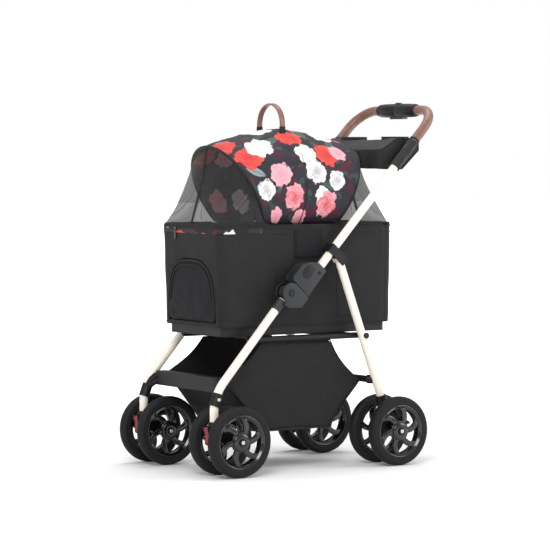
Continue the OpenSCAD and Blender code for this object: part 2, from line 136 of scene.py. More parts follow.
class Group:
    """A shader node group with named inputs and outputs."""

    def __init__(self, name, inputs, outputs):
        self.tree = bpy.data.node_groups.new(name, "ShaderNodeTree")
        for label, kind, value in inputs:
            socket = self.tree.interface.new_socket(label, in_out="INPUT", socket_type=kind)
            if value is not None:
                socket.default_value = value
        for label, kind in outputs:
            self.tree.interface.new_socket(label, in_out="OUTPUT", socket_type=kind)
        self.enter = self.tree.nodes.new("NodeGroupInput")
        self.leave = self.tree.nodes.new("NodeGroupOutput")

    def node(self, kind, *feeds, **settings):
        made = self.tree.nodes.new(kind)
        for key, value in settings.items():
            setattr(made, key, value)
        for index, feed in enumerate(feeds):
            self.feed(feed, made.inputs[index])
        return made

    def feed(self, value, socket):
        if isinstance(value, bpy.types.NodeSocket):
            self.tree.links.new(value, socket)
        elif value is not None:
            socket.default_value = value

    def math(self, operation, a, b=None, c=None, clamp=False):
        made = self.node("ShaderNodeMath", a, b, c, operation=operation, use_clamp=clamp)
        return made.outputs[0]

    def mix(self, fac, a, b):
        made = self.node("ShaderNodeMix", data_type="RGBA")
        self.feed(fac, made.inputs["Factor"])
        self.feed(a, made.inputs["A"])
        self.feed(b, made.inputs["B"])
        return made.outputs["Result"]

    def noise(self, vector, scale, detail=2.0):
        made = self.node("ShaderNodeTexNoise", vector)
        made.inputs["Scale"].default_value = scale
        made.inputs["Detail"].default_value = detail
        return made.outputs["Fac"]


FLOAT, COLOUR, VECTOR = "NodeSocketFloat", "NodeSocketColor", "NodeSocketVector"


def weave_group():
    """Over-and-under threads: height and a light-dark mask, with Threads per metre."""
    g = Group("weave", [("Vector", VECTOR, None), ("Threads", FLOAT, 900.0)],
              [("Height", FLOAT), ("Tone", FLOAT)])
    parts = g.node("ShaderNodeSeparateXYZ", g.enter.outputs["Vector"])
    turn = g.math("MULTIPLY", g.enter.outputs["Threads"], math.pi)
    u = g.math("SINE", g.math("MULTIPLY", parts.outputs["X"], turn))
    v = g.math("SINE", g.math("MULTIPLY", parts.outputs["Y"], turn))
    height = g.math("MULTIPLY", u, v)
    wide = g.noise(g.enter.outputs["Vector"], 18.0, 4.0)
    g.feed(g.math("ABSOLUTE", height), g.leave.inputs["Height"])
    g.feed(g.math("ADD", g.math("MULTIPLY", height, 0.15), wide), g.leave.inputs["Tone"])
    return g.tree


def grain_group():
    """Leather pebbling: height, and painted shade that darkens the colour in the creases, where the broad noise
    lowers the grain.
    """
    g = Group("leather grain", [("Vector", VECTOR, None), ("Scale", FLOAT, 420.0)],
              [("Height", FLOAT), ("Painted_Crease_Shade", FLOAT)])
    cells = g.node("ShaderNodeTexVoronoi", g.enter.outputs["Vector"], None, g.enter.outputs["Scale"])
    cells.inputs["Scale"].default_value = 420.0
    wide = g.noise(g.enter.outputs["Vector"], 60.0, 5.0)
    g.feed(g.math("ADD", cells.outputs["Distance"], wide), g.leave.inputs["Height"])
    # Painted shade: the broad noise that lowers the grain also darkens the colour there, so the creases are
    # painted darker.
    g.feed(wide, g.leave.inputs["Painted_Crease_Shade"])
    return g.tree


def wear_group():
    """Handling marks: a roughness that wanders between Low and High, fine pits and a faint dust tone."""
    g = Group(
        "handling wear",
        [("Vector", VECTOR, None), ("Low", FLOAT, 0.3), ("High", FLOAT, 0.5), ("Pits", FLOAT, 900.0)],
        [("Roughness", FLOAT), ("Pits", FLOAT), ("Dust", FLOAT)],
    )
    wide = g.noise(g.enter.outputs["Vector"], 14.0, 5.0)
    span = g.math("SUBTRACT", g.enter.outputs["High"], g.enter.outputs["Low"])
    pits = g.node("ShaderNodeTexNoise", g.enter.outputs["Vector"])
    g.feed(g.enter.outputs["Pits"], pits.inputs["Scale"])
    g.feed(g.math("ADD", g.math("MULTIPLY", wide, span), g.enter.outputs["Low"]),
           g.leave.inputs["Roughness"])
    g.feed(pits.outputs["Fac"], g.leave.inputs["Pits"])
    g.feed(g.math("POWER", wide, 3.0), g.leave.inputs["Dust"])
    return g.tree


def polar(g, centre, turn):
    """The distance and angle of the cloth's own coordinates from centre, inside a group."""
    offset = g.node("ShaderNodeVectorMath", g.enter.outputs["Vector"], centre, operation="SUBTRACT")
    parts = g.node("ShaderNodeSeparateXYZ", offset.outputs["Vector"])
    length = g.node("ShaderNodeVectorMath", offset.outputs["Vector"], operation="LENGTH")
    angle = g.math("ADD", g.math("ARCTAN2", parts.outputs["Y"], parts.outputs["X"]), turn)
    return parts, length.outputs["Value"], angle


def rose_group():
    """One printed rose over the colour it is given: lobed outline, spiral petals from Heart to Petal."""
    g = Group(
        "printed rose",
        [("Vector", VECTOR, None), ("Ground", COLOUR, None), ("Centre", VECTOR, None),
         ("Radius", FLOAT, 0.03),
         ("Turn", FLOAT, 0.0), ("Lobes", FLOAT, 5.0), ("Petal", COLOUR, None), ("Heart", COLOUR, None)],
        [("Colour", COLOUR)],
    )
    i = g.enter.outputs
    ragged = g.noise(i["Vector"], 75.0, 4.0)
    _, length, angle = polar(g, i["Centre"], i["Turn"])
    lobes = g.math("ABSOLUTE", g.math("SINE",
                                      g.math("MULTIPLY", angle, g.math("MULTIPLY", i["Lobes"], 0.5))))
    edge = g.math("ADD", g.math("MULTIPLY", lobes, 0.16), g.math("MULTIPLY", ragged, 0.8))
    reach = g.math("DIVIDE", length, g.math("MULTIPLY", g.math("ADD", edge, 0.5), i["Radius"]))
    inside = g.math("MULTIPLY", g.math("SUBTRACT", 1.0, reach), 16.0, clamp=True)
    around = g.math("ADD", g.math("MULTIPLY", angle, 1.3), g.math("MULTIPLY", ragged, 2.2))
    place = g.node("ShaderNodeCombineXYZ", around, g.math("MULTIPLY", reach, 4.2), i["Radius"])
    scales = g.node("ShaderNodeTexVoronoi", place.outputs[0])
    scales.inputs["Scale"].default_value = 1.0
    scales.inputs["Randomness"].default_value = 0.75
    fold = g.math("SUBTRACT", 1.05, g.math("POWER", scales.outputs["Distance"], 1.6), clamp=True)
    streak = g.math("MULTIPLY", g.noise(i["Vector"], 260.0, 3.0), 0.5)
    petals = g.math("MULTIPLY", fold, g.math("ADD", g.math("MULTIPLY", reach, 0.9), streak), clamp=True)
    flower = g.mix(petals, i["Heart"], i["Petal"])
    g.feed(g.mix(inside, i["Ground"], flower), g.leave.inputs["Colour"])
    return g.tree


def leaf_group():
    """One printed leaf over the colour it is given, with a lighter midrib and side veins."""
    g = Group(
        "printed leaf",
        [("Vector", VECTOR, None), ("Ground", COLOUR, None), ("Centre", VECTOR, None),
         ("Radius", FLOAT, 0.03),
         ("Turn", FLOAT, 0.0), ("Lobes", FLOAT, 2.4), ("Petal", COLOUR, None), ("Heart", COLOUR, None)],
        [("Colour", COLOUR)],
    )
    i = g.enter.outputs
    ragged = g.noise(i["Vector"], 120.0, 2.0)
    _, length, angle = polar(g, i["Centre"], i["Turn"])
    x = g.math("MULTIPLY", g.math("COSINE", angle), length)
    y = g.math("ABSOLUTE", g.math("MULTIPLY", g.math("SINE", angle), length))
    along = g.math("DIVIDE", x, i["Radius"])
    across = g.math("DIVIDE", g.math("MULTIPLY", y, i["Lobes"]), i["Radius"])
    body = g.math("ADD", g.math("MULTIPLY", along, along),
                  g.math("ADD", across, g.math("MULTIPLY", ragged, 0.2)))
    inside = g.math("MULTIPLY", g.math("SUBTRACT", 1.05, body), 12.0, clamp=True)
    veins = g.math("SINE", g.math("MULTIPLY", g.math("SUBTRACT", g.math("MULTIPLY", across, 0.4), along),
                                  26.0))
    rib = g.math("SUBTRACT", 1.0, g.math("MULTIPLY", across, 7.0), clamp=True)
    tone = g.math("ADD", g.math("MULTIPLY", g.math("ADD", veins, 1.0), 0.2), rib, clamp=True)
    g.feed(g.mix(inside, i["Ground"], g.mix(tone, i["Petal"], i["Heart"])), g.leave.inputs["Colour"])
    return g.tree


WEAVE, GRAIN, WEAR, ROSE, LEAF = weave_group(), grain_group(), wear_group(), rose_group(), leaf_group()


# ---------------------------------------------------------------- finishes

def ramp(s, fac, dark, light):
    made = s.node("ShaderNodeMix", data_type="RGBA")
    s.link(fac, made.inputs["Factor"])
    made.inputs["A"].default_value = (*dark, 1)
    made.inputs["B"].default_value = (*light, 1)
    return made.outputs["Result"]


def moulded(name, dark, light, low, high, coat=0.0, metal=0.0, bump=0.08, pits=900.0, shine=0.3):
    """Moulded plastic, paint or metal: colour from dark to light, fine texture and handling wear."""
    s = Shader(name, metal=metal, Coat_Weight=coat, Specular_IOR_Level=shine)
    wear = s.group(WEAR, Vector=s.coords(), Low=low, High=high, Pits=pits)
    s.link(wear.outputs["Roughness"], s.bsdf.inputs["Roughness"])
    s.link(ramp(s, wear.outputs["Dust"], dark, light), s.bsdf.inputs["Base Color"])
    s.bump(wear.outputs["Pits"], bump, 0.0004)
    return s.mat


def woven(name, dark, light, threads=700.0, rough=0.75, sheen=0.02, strength=0.5):
    s = Shader(name, rough=rough, Sheen_Weight=sheen, Sheen_Roughness=0.4, Specular_IOR_Level=0.3)
    weave = s.group(WEAVE, Vector=s.coords("UV"), Threads=threads)
    s.link(ramp(s, weave.outputs["Tone"], dark, light), s.bsdf.inputs["Base Color"])
    s.bump(weave.outputs["Height"], strength, 0.0004)
    return s.mat


def net(name, colour, alpha):
    """Knitted see-through mesh: holes too small to see one by one make it half clear."""
    s = Shader(name, rough=0.8, Sheen_Weight=0.1)
    s.bsdf.inputs["Base Color"].default_value = (*colour, 1)
    weave = s.group(WEAVE, Vector=s.coords("UV"), Threads=450.0)
    spread = s.node("ShaderNodeMapRange")
    spread.inputs["From Min"].default_value = 0.0
    spread.inputs["From Max"].default_value = 1.0
    spread.inputs["To Min"].default_value = alpha + 0.14
    spread.inputs["To Max"].default_value = alpha - 0.14
    s.link(weave.outputs["Height"], spread.inputs["Value"])
    s.link(spread.outputs["Result"], s.bsdf.inputs["Alpha"])
    return s.mat


def leather(name, dark, light):
    s = Shader(name, rough=0.42, Sheen_Weight=0.1, Coat_Weight=0.12)
    grain = s.group(GRAIN, Vector=s.coords(), Scale=420.0)
    # The colour is darker in the creases: painted shade from the grain's broad noise.
    s.link(ramp(s, grain.outputs["Painted_Crease_Shade"], dark, light), s.bsdf.inputs["Base Color"])
    s.bump(grain.outputs["Height"], 0.35, 0.0006)
    return s.mat


WHITE, CREAM, PINK = (0.80, 0.76, 0.75, 1), (0.62, 0.52, 0.50, 1), (0.66, 0.22, 0.28, 1)
ROSY, CORAL, RED = (0.72, 0.36, 0.40, 1), (0.62, 0.07, 0.045, 1), (0.42, 0.02, 0.03, 1)
WINE, PLUM, TEAL = (0.10, 0.008, 0.02, 1), (0.055, 0.008, 0.02, 1), (0.045, 0.11, 0.10, 1)
GREEN, GREY = (0.02, 0.05, 0.045, 1), (0.25, 0.27, 0.30, 1)


PRINT_SPREAD = 1.4
ROSE_SIZE = 0.86


def flowers():
    """Printed flowers on the hood, from the back of the print to the front: group, place along the hood and
    across it from its ridge in mm, radius in mm, turn, lobes, and colours of the petals and the heart."""
    leaves = [
        (-60, 62, 34, 0.4, TEAL, GREEN), (26, 40, 40, 1.9, TEAL, GREEN), (96, 64, 34, 1.2, TEAL, GREEN),
        (-146, 118, 36, 2.4, GREY, TEAL), (-20, 205, 30, 0.2, PLUM, WINE), (70, 160, 32, 2.8, GREEN, TEAL),
        (14, 128, 38, 1.5, PLUM, WINE), (-100, -60, 36, 0.9, TEAL, GREEN), (60, -90, 38, 2.1, TEAL, GREEN),
        (-30, -150, 36, 1.1, PLUM, WINE), (110, -40, 34, 0.3, TEAL, GREEN), (-150, 20, 30, 2.0, GREY, TEAL),
        (40, 214, 30, 1.0, PLUM, WINE), (-92, 150, 34, 1.4, GREEN, TEAL),
    ]
    roses = [
        (-168, 34, 40, 0.3, 5, CORAL, RED), (-140, 86, 42, 1.9, 4, CORAL, RED), (-96, 70, 40, 0.8, 6, WHITE,
                                                                                 CREAM),
        (-52, 6, 42, 1.1, 5, WHITE, CREAM), (-8, 58, 38, 2.2, 5, CORAL, RED), (30, 6, 36, 0.2, 4, PINK,
                                                                               RED),
        (-78, 138, 38, 2.6, 6, ROSY, PINK), (-44, 186, 42, 0.5, 5, ROSY, RED), (-12, 232, 34, 1.4, 5, ROSY,
                                                                                PINK),
        (14, 102, 34, 0.9, 5, WHITE, CREAM), (34, 138, 38, 2.0, 6, WHITE, GREY), (60, 180, 28, 1.2, 5,
                                                                                  WHITE, CREAM),
        (74, 96, 40, 0.6, 5, CORAL, RED), (88, 34, 34, 2.4, 6, WHITE, CREAM), (112, 84, 30, 1.0, 5, ROSY,
                                                                               PINK),
        (104, 146, 32, 1.8, 5, WHITE, GREY), (86, 196, 44, 0.4, 6, ROSY, RED), (-140, 158, 34, 2.9, 5,
                                                                                WHITE, GREY),
        (-120, 214, 30, 0.7, 5, ROSY, PINK), (132, 12, 34, 2.1, 5, PINK, RED), (-110, -18, 36, 1.5, 5,
                                                                                WHITE, CREAM),
        (-70, -100, 42, 0.9, 5, ROSY, PINK), (-140, -86, 38, 2.5, 5, CORAL, RED), (0, -60, 40, 0.1, 6,
                                                                                   WHITE, CREAM),
        (50, -50, 34, 1.7, 5, PINK, RED), (100, -110, 42, 0.6, 5, ROSY, PINK), (20, -130, 40, 2.3, 5, CORAL,
                                                                                RED),
        (-30, -200, 40, 1.3, 6, WHITE, CREAM), (70, -180, 42, 0.2, 5, ROSY, RED), (-120, -190, 40, 2.0, 5,
                                                                                   ROSY, PINK),
    ]
    for along, across, radius, turn, petal, heart in leaves:
        yield LEAF, along, across, radius, turn, 2.4, petal, heart
    for along, across, radius, turn, lobes, petal, heart in roses:
        yield ROSE, along, across, radius, turn, lobes, petal, heart


def floral(name):
    """Rose print on black oxford: each flower is drawn over the ones before it."""
    s = Shader(name, rough=0.7, Sheen_Weight=0.03, Specular_IOR_Level=0.3)
    vector = s.coords("UV")
    weave = s.group(WEAVE, Vector=vector, Threads=700.0)
    colour = ramp(s, weave.outputs["Tone"], (0.008, 0.009, 0.014), (0.022, 0.024, 0.034))
    for scale, low, tint in ((26.0, 0.56, PLUM), (31.0, 0.6, GREEN), (38.0, 0.64, WINE)):
        blot = s.node("ShaderNodeTexNoise")
        blot.inputs["Scale"].default_value = scale
        s.link(vector, blot.inputs["Vector"])
        step = s.node("ShaderNodeMapRange")
        step.inputs["From Min"].default_value = low
        step.inputs["From Max"].default_value = low + 0.03
        s.link(blot.outputs["Fac"], step.inputs["Value"])
        layer = s.node("ShaderNodeMix", data_type="RGBA")
        s.link(step.outputs["Result"], layer.inputs["Factor"])
        s.link(colour, layer.inputs["A"])
        layer.inputs["B"].default_value = tint
        colour = layer.outputs["Result"]
    for group, along, across, radius, turn, lobes, petal, heart in flowers():
        made = s.group(group, Vector=vector, Ground=colour,
                       Centre=(along * MM, across * PRINT_SPREAD * MM, 0),
                       Radius=ROSE_SIZE * radius * MM, Turn=turn, Lobes=lobes, Petal=petal, Heart=heart)
        colour = made.outputs["Colour"]
    s.link(colour, s.bsdf.inputs["Base Color"])
    # Daylight that comes through the thin cloth.
    s.link(colour, s.bsdf.inputs["Emission Color"])
    s.bsdf.inputs["Emission Strength"].default_value = 0.12
    s.bump(weave.outputs["Height"], 0.4, 0.0004)
    return s.mat


FINISH = {
    "cream_paint": moulded("cream powder coat", (0.80, 0.73, 0.63), (0.88, 0.82, 0.74), 0.28, 0.4, coat=0.3,
                           bump=0.03),
    "grey_plastic": moulded("dark grey moulding", (0.022, 0.023, 0.026), (0.045, 0.046, 0.05), 0.42, 0.6,
                            bump=0.15),
    "black_plastic": moulded("black moulding", (0.005, 0.005, 0.0055), (0.012, 0.012, 0.013), 0.4, 0.6,
                             bump=0.12),
    "gloss_plastic": moulded("polished black moulding", (0.004, 0.004, 0.0045), (0.012, 0.012, 0.013), 0.1,
                             0.24, 0.3,
                             shine=0.5),
    "red_plastic": moulded("dark red moulding", (0.20, 0.012, 0.022), (0.30, 0.03, 0.04), 0.25, 0.4,
                           coat=0.2),
    "tyre_foam": moulded("tyre foam", (0.005, 0.005, 0.0055), (0.014, 0.014, 0.015), 0.6, 0.82, bump=0.25,
                         pits=1400.0),
    "steel": moulded("plated steel", (0.55, 0.55, 0.57), (0.7, 0.7, 0.72), 0.2, 0.35, metal=1.0, bump=0.02,
                     shine=0.5),
    "leather": leather("brown leather", (0.10, 0.038, 0.025), (0.24, 0.11, 0.075)),
    "black_fabric": woven("black oxford", (0.005, 0.005, 0.0055), (0.012, 0.012, 0.013)),
    "binding": woven("black binding", (0.004, 0.004, 0.004), (0.010, 0.010, 0.011), threads=500.0,
                     rough=0.6),
    "pocket_mesh": woven("dark pocket mesh", (0.004, 0.004, 0.005), (0.012, 0.012, 0.014), threads=380.0,
                         rough=0.9),
    "tray_fabric": woven("tray oxford", (0.006, 0.0065, 0.0065), (0.016, 0.017, 0.017), rough=0.6,
                         sheen=0.08),
    "floral_fabric": floral("rose print"),
    "mesh_fabric": net("black net", (0.012, 0.012, 0.013), 0.6),
}


# ---------------------------------------------------------------- mesh helpers

def piece(obj, body, slot, finish=None, replaces=()):
    """Gives a finished mesh its finish, by default the one of its slot, puts it on its body and hides the CAD
    nodes that it stands for.
    """
    obj.data.materials.clear()
    obj.data.materials.append(FINISH[finish or slot])
    if body:
        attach(obj, body)
    if replaces:
        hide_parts(*replaces)
    return obj


def mesh_object(name, points, faces, uvs=None):
    data = bpy.data.meshes.new(name)
    data.from_pydata([tuple(p) for p in points], [], faces)
    if uvs:
        layer = data.uv_layers.new(name="cloth")
        for loop in data.loops:
            layer.data[loop.index].uv = uvs[loop.vertex_index]
    data.shade_smooth()
    data.update()
    obj = bpy.data.objects.new(name, data)
    bpy.context.collection.objects.link(obj)
    return obj


def apply_all(obj):
    bpy.context.view_layer.objects.active = obj
    for m in list(obj.modifiers):
        bpy.ops.object.modifier_apply(modifier=m.name)


def modify(obj, kind, **settings):
    m = obj.modifiers.new(kind.lower(), kind)
    for key, value in settings.items():
        setattr(m, key, value)
    apply_all(obj)


def cloth(name, rows, thick=1.2 * MM, smooth=1, uvs=None):
    """A sheet through a grid of points, with the cloth's thickness. Its UV map is in metres."""
    n, m = len(rows), len(rows[0])
    points = [p for row in rows for p in row]
    if uvs is None:
        uvs = []
        down = 0.0
        for i, row in enumerate(rows):
            if i:
                down += (row[m // 2] - rows[i - 1][m // 2]).length
            across = 0.0
            for j, p in enumerate(row):
                if j:
                    across += (p - row[j - 1]).length
                uvs.append((across, down))
    faces = [
        (i * m + j, i * m + j + 1, (i + 1) * m + j + 1, (i + 1) * m + j)
        for i in range(n - 1) for j in range(m - 1)
    ]
    obj = mesh_object(name, points, faces, uvs)
    if smooth:
        modify(obj, "SUBSURF", levels=smooth, render_levels=smooth)
    if thick:
        modify(obj, "SOLIDIFY", thickness=thick, offset=0)
    return obj


def puff(obj, sewn, pressure=0.0, frames=22):
    """Cloth simulation: sewn points stay, and the rest settles under its weight and the padding."""
    group = obj.vertex_groups.new(name="sewn")
    group.add(sewn, 1.0, "REPLACE")
    m = obj.modifiers.new("settle", "CLOTH")
    m.settings.vertex_group_mass = "sewn"
    m.settings.quality = 6
    m.settings.mass = 0.25
    m.settings.tension_stiffness = m.settings.compression_stiffness = 25
    m.settings.bending_stiffness = 2.0
    m.settings.use_pressure = pressure > 0
    m.settings.uniform_pressure_force = pressure
    m.collision_settings.use_collision = False
    m.point_cache.frame_end = frames
    for frame_number in range(1, frames + 1):
        bpy.context.scene.frame_set(frame_number)
    apply_all(obj)
    obj.vertex_groups.clear()
    bpy.context.scene.frame_set(1)


def slab(name, outline, x0, x1, bevel, segments=3, at=(0, 0, 0), tilt=0.0):
    """A plate with rounded edges. Its outline lies in the Y-Z plane, turned by tilt about X at a place."""
    n = len(outline)
    turn = Matrix.Translation(at) @ Matrix.Rotation(tilt, 4, "X")
    points = [turn @ Vector((x, y, z)) for x in (x0, x1) for y, z in outline]
    area = sum(a[0] * b[1] - b[0] * a[1] for a, b in zip(outline, outline[1:] + outline[:1]))
    ring = list(range(n)) if area > 0 else list(range(n))[::-1]
    faces = [tuple(ring[::-1]), tuple(k + n for k in ring)]
    for a, b in zip(ring, ring[1:] + ring[:1]):
        faces.append((a, b, b + n, a + n))
    obj = mesh_object(name, points, faces, [(p.y, p.z) for p in points])
    if bevel:
        modify(obj, "BEVEL", width=bevel, segments=segments, limit_method="ANGLE",
               angle_limit=math.radians(25))
    return obj


def lathe(name, profile, centre, axis="X", steps=64, closed=False):
    """Turns a profile of (along the axis, radius) points about an axis through centre."""
    turn = {"X": Matrix.Identity(4), "Z": Matrix.Rotation(-math.pi / 2, 4, "Y")}[axis]
    rows = []
    for along, radius in profile:
        rows.append([
            Vector(centre) + turn @ Vector((along, radius * math.cos(a), radius * math.sin(a)))
            for a in (2 * math.pi * k / steps for k in range(steps))
        ])
    if closed:
        rows.append(rows[0])
    n = len(rows)
    points = [p for row in rows for p in row]
    faces = [
        (i * steps + j, i * steps + (j + 1) % steps, (i + 1) * steps + (j + 1) % steps, (i + 1) * steps + j)
        for i in range(n - 1) for j in range(steps)
    ]
    obj = mesh_object(name, points, faces, [(p.y, p.z) for p in points])
    clean(obj)
    return obj


def clean(obj):
    """Merges doubles and makes the faces point outwards."""
    bpy.ops.object.select_all(action="DESELECT")
    obj.select_set(True)
    bpy.context.view_layer.objects.active = obj
    bpy.ops.object.mode_set(mode="EDIT")
    bpy.ops.mesh.select_all(action="SELECT")
    bpy.ops.mesh.remove_doubles(threshold=1e-6)
    bpy.ops.mesh.normals_make_consistent(inside=False)
    bpy.ops.object.mode_set(mode="OBJECT")
    obj.select_set(False)


def join(name, parts):
    bpy.ops.object.select_all(action="DESELECT")
    for part in parts:
        part.select_set(True)
    bpy.context.view_layer.objects.active = parts[0]
    bpy.ops.object.join()
    made = bpy.context.view_layer.objects.active
    made.name = name
    made.data.name = name
    made.select_set(False)
    return made


def tube(name, points, radius, closed=False, sides=4):
    """A round tube or piping along points."""
    curve = bpy.data.curves.new(name, "CURVE")
    curve.dimensions = "3D"
    curve.bevel_depth = radius
    curve.bevel_resolution = sides
    curve.use_fill_caps = True
    spline = curve.splines.new("POLY")
    spline.points.add(len(points) - 1)
    for point, place in zip(spline.points, points):
        point.co = (*place, 1)
    spline.use_cyclic_u = closed
    obj = bpy.data.objects.new(name, curve)
    bpy.context.collection.objects.link(obj)
    bpy.ops.object.select_all(action="DESELECT")
    obj.select_set(True)
    bpy.context.view_layer.objects.active = obj
    bpy.ops.object.convert(target="MESH")
    obj = bpy.context.view_layer.objects.active
    obj.select_set(False)
    obj.data.shade_smooth()
    layer = obj.data.uv_layers.active or obj.data.uv_layers.new(name="cloth")
    for loop in obj.data.loops:
        co = obj.data.vertices[loop.vertex_index].co
        layer.data[loop.index].uv = (co.x + co.y, co.z)
    return obj


def smooth_path(points, steps=8):
    """A Catmull-Rom curve through given points."""
    pts = [Vector(p) for p in points]
    pts = [2 * pts[0] - pts[1], *pts, 2 * pts[-1] - pts[-2]]
    path = []
    for k in range(1, len(pts) - 2):
        a, b, c, d = pts[k - 1:k + 3]
        for i in range(steps):
            t = i / steps
            path.append(0.5 * (2 * b + (c - a) * t + (2 * a - 5 * b + 4 * c - d) * t * t
                               + (3 * b - a - 3 * c + d) * t ** 3))
    return path + [pts[-2]]


def lerp(a, b, t):
    return a + (b - a) * t


def mm(*v):
    return Vector(v) * MM


def ripple(obj, amount, scale, seed=0.0):
    """Uneven cloth: moves each point along its normal by a slow noise."""
    shift = Vector((seed, seed * 0.7, -seed))
    moves = [(v.index, v.co + v.normal * noise.noise(v.co * scale + shift) * amount)
             for v in obj.data.vertices]
    for index, place in moves:
        obj.data.vertices[index].co = place
    obj.data.update()


# ---------------------------------------------------------------- CAD pieces that keep their shape

def dress_cad():
    """Every CAD node gets the finish of its slot, but the zipper's pull is gloss black."""
    for sub in frame["record"]["subparts"]:
        obj = frame["nodes"][sub["node"]]
        obj.data.materials.clear()
        dark = sub["node"] == "zipper_pull"
        obj.data.materials.append(FINISH["gloss_plastic" if dark else sub["material_slot"]])


# ---------------------------------------------------------------- wheels

def tyre_profile():
    """Closed profile of the foam tyre, with a ring step on each side wall."""
    half = [(15, 71), (15, 77), (14.2, 78), (14.2, 79), (15, 80), (14.6, 83), (12.6, 87.4), (9, 90.4),
            (4.5, 91.8), (0, 92)]
    other = [(-x, r) for x, r in half[-2::-1]]
    return [(x * MM, r * MM) for x, r in half + other + [(-12, 69.8), (12, 69.8)]]


def curved_spoke(index, count, face):
    """Outline of one swept spoke, drawn from the hub to the rim ring."""
    sides = ([], [])
    for k in range(9):
        t = k / 8
        r = lerp(15, 62, t)
        angle = 2 * math.pi * index / count + face * 0.42 * t * t
        half = 6.5 + 3.0 * t
        for side, s in zip(sides, (-1, 1)):
            a = angle + s * half / r
            side.append((r * MM * math.cos(a), r * MM * math.sin(a)))
    return sides[0] + sides[1][::-1]


def wheel(name, centre, face, body):
    """A tyre, and a glossy six-spoke rim with a lip and a hub cap. The screw on the axle's end is made in
    wheels().
    """
    tyre = lathe(f"{name}_tyre_skin", tyre_profile(), centre, closed=True)
    piece(tyre, body, "tyre_foam", replaces=[f"{name}_tyre"])
    lip = [(13, 66), (14.5, 67), (14.5, 70), (12, 70.6), (-12, 70.6), (-13, 70), (-13, 66), (-10, 60),
           (7, 59.5), (10, 62)]
    parts = [lathe("lip", [(face * x * MM, r * MM) for x, r in lip], centre, closed=True)]
    x0, x1 = sorted((face * 2 * MM, face * 10.5 * MM))
    for k in range(6):
        parts.append(slab("spoke", curved_spoke(k, 6, face), centre.x + x0, centre.x + x1, 1.6 * MM, 2,
                          at=(0, centre.y, centre.z)))
    hub = [(-12, 5.5), (-12, 16), (9, 17), (11, 24), (13, 24), (15, 21), (16, 12), (15.5, 5.5)]
    parts.append(lathe("hub", [(face * x * MM, r * MM) for x, r in hub], centre, closed=True))
    boss = [(1, 14), (1, 25), (3, 27), (9, 27), (10, 25), (10, 14)]
    parts.append(lathe("boss", [(face * x * MM, r * MM) for x, r in boss], centre, closed=True))
    rim = join(f"{name}_rim_skin", parts)
    piece(rim, body, "gloss_plastic", replaces=[f"{name}_rim"])


def wheels():
    for side, sign in SIDES.items():
        for place in ("front_outer", "front_inner", "rear_outer", "rear_inner"):
            name = f"{side}_{place}"
            face = sign if place.endswith("outer") else -sign
            centre = mid(f"{name}_tyre")
            wheel(name, centre, face, f"{name}_wheel")
            carrier = f"{side}_caster" if place.startswith("front") else "rear_frame"
            at = centre + Vector((face * 19.4 * MM, 0, 0))
            screw = lathe(f"{name}_screw",
                          [(0, 0.1 * MM), (face * 1.4 * MM, 2 * MM), (face * 1.4 * MM, 4.4 * MM),
                                            (0, 5.6 * MM), (-face * MM, 5.6 * MM)], at, steps=24)
            piece(screw, carrier, "steel")


# ---------------------------------------------------------------- joints of the frame

def crossbar_trim():
    """Curved ends of the front crossbar, and the screw that holds each to its leg."""
    for side, sign in SIDES.items():
        path = smooth_path([mm(sign * x, y, z) for x, y, z in (
            (128, -314, 244), (146, -317, 242), (160, -327, 230), (168, -336, 212), (171, -340, 196))])
        piece(tube(f"{side}_crossbar_arm", path, 8 * MM), "front_frame", "black_plastic")
        at = mm(sign * (TRACK_X / MM + 14), -338, 200)
        dome = [(0, 0.1), (1.2, 2.4), (0.8, 4.2), (-0.6, 5), (-3, 5)]
        screw = lathe(f"{side}_crossbar_screw", [(sign * x * MM, r * MM) for x, r in dome], at, steps=24)
        piece(screw, "front_frame", "steel")


def frame_joints():
    """Folding joint on each side: bevelled plates, a surround for the latch, and two rivets."""
    disc = [(26 * math.cos(math.radians(a)), 26 * math.sin(math.radians(a))) for a in range(0, 181, 15)]
    lower = [(-39, -4), (-33, -21), (-8, -50), (20, -50), (26, -44), (26, 0), *disc[1:]]
    upper = [(28, 18), (36, 24), (77, 24), (98, 10), (114, -12), (114, -43), (60, -44), (28, -46)]
    for side, sign in SIDES.items():
        for x in (-1, 1):
            centre = sign * TRACK_X
            a, b = sorted((centre + x * 13.3 * MM, centre + x * 19.4 * MM))
            cover = slab(f"{side}_lower_cover_{x}", [(t * MM, n * MM) for t, n in lower], a, b, 2.2 * MM, 3,
                         FOLD, LEG_TILT)
            piece(cover, "front_frame", "grey_plastic")
        for x in (-1, 1):
            a, b = sorted((centre + x * 17.8 * MM, centre + x * 19.8 * MM))
            cover = slab(f"{side}_upper_cover_{x}", [(t * MM, n * MM) for t, n in upper], a, b, 0.9 * MM, 3,
                         FOLD, PUSH_TILT)
            piece(cover, "push_frame", "grey_plastic")
        out = centre + sign * 19.8 * MM
        recess = [(60, -13), (54, 0), (60, 11), (76, 14), (92, 8), (96, -4), (90, -14), (74, -16)]
        a, b = sorted((out - sign * 1 * MM, out + sign * 0.8 * MM))
        pad = slab(f"{side}_latch_surround", [(t * MM, n * MM) for t, n in recess], a, b, 0.6 * MM, 2, FOLD,
                   PUSH_TILT)
        piece(pad, "push_frame", "black_plastic")
        for k, (t, n, r, body, tilt) in enumerate([(0, 0, 9, "front_frame", LEG_TILT),
                                                   (96, -30, 4.2, "push_frame", PUSH_TILT)]):
            at = Vector((out, FOLD.y + (t * math.cos(tilt) - n * math.sin(tilt)) * MM,
                         FOLD.z + (t * math.sin(tilt) + n * math.cos(tilt)) * MM))
            profile = [(0, r), (1.2, r), (2.2, r * 0.8), (2.4, r * 0.45), (1.2, r * 0.35), (1.2, 0.1)]
            rivet = lathe(f"{side}_rivet_{k}", [(sign * x * MM, q * MM) for x, q in profile], at, steps=32)
            piece(rivet, body, "black_plastic")


# ---------------------------------------------------------------- handle

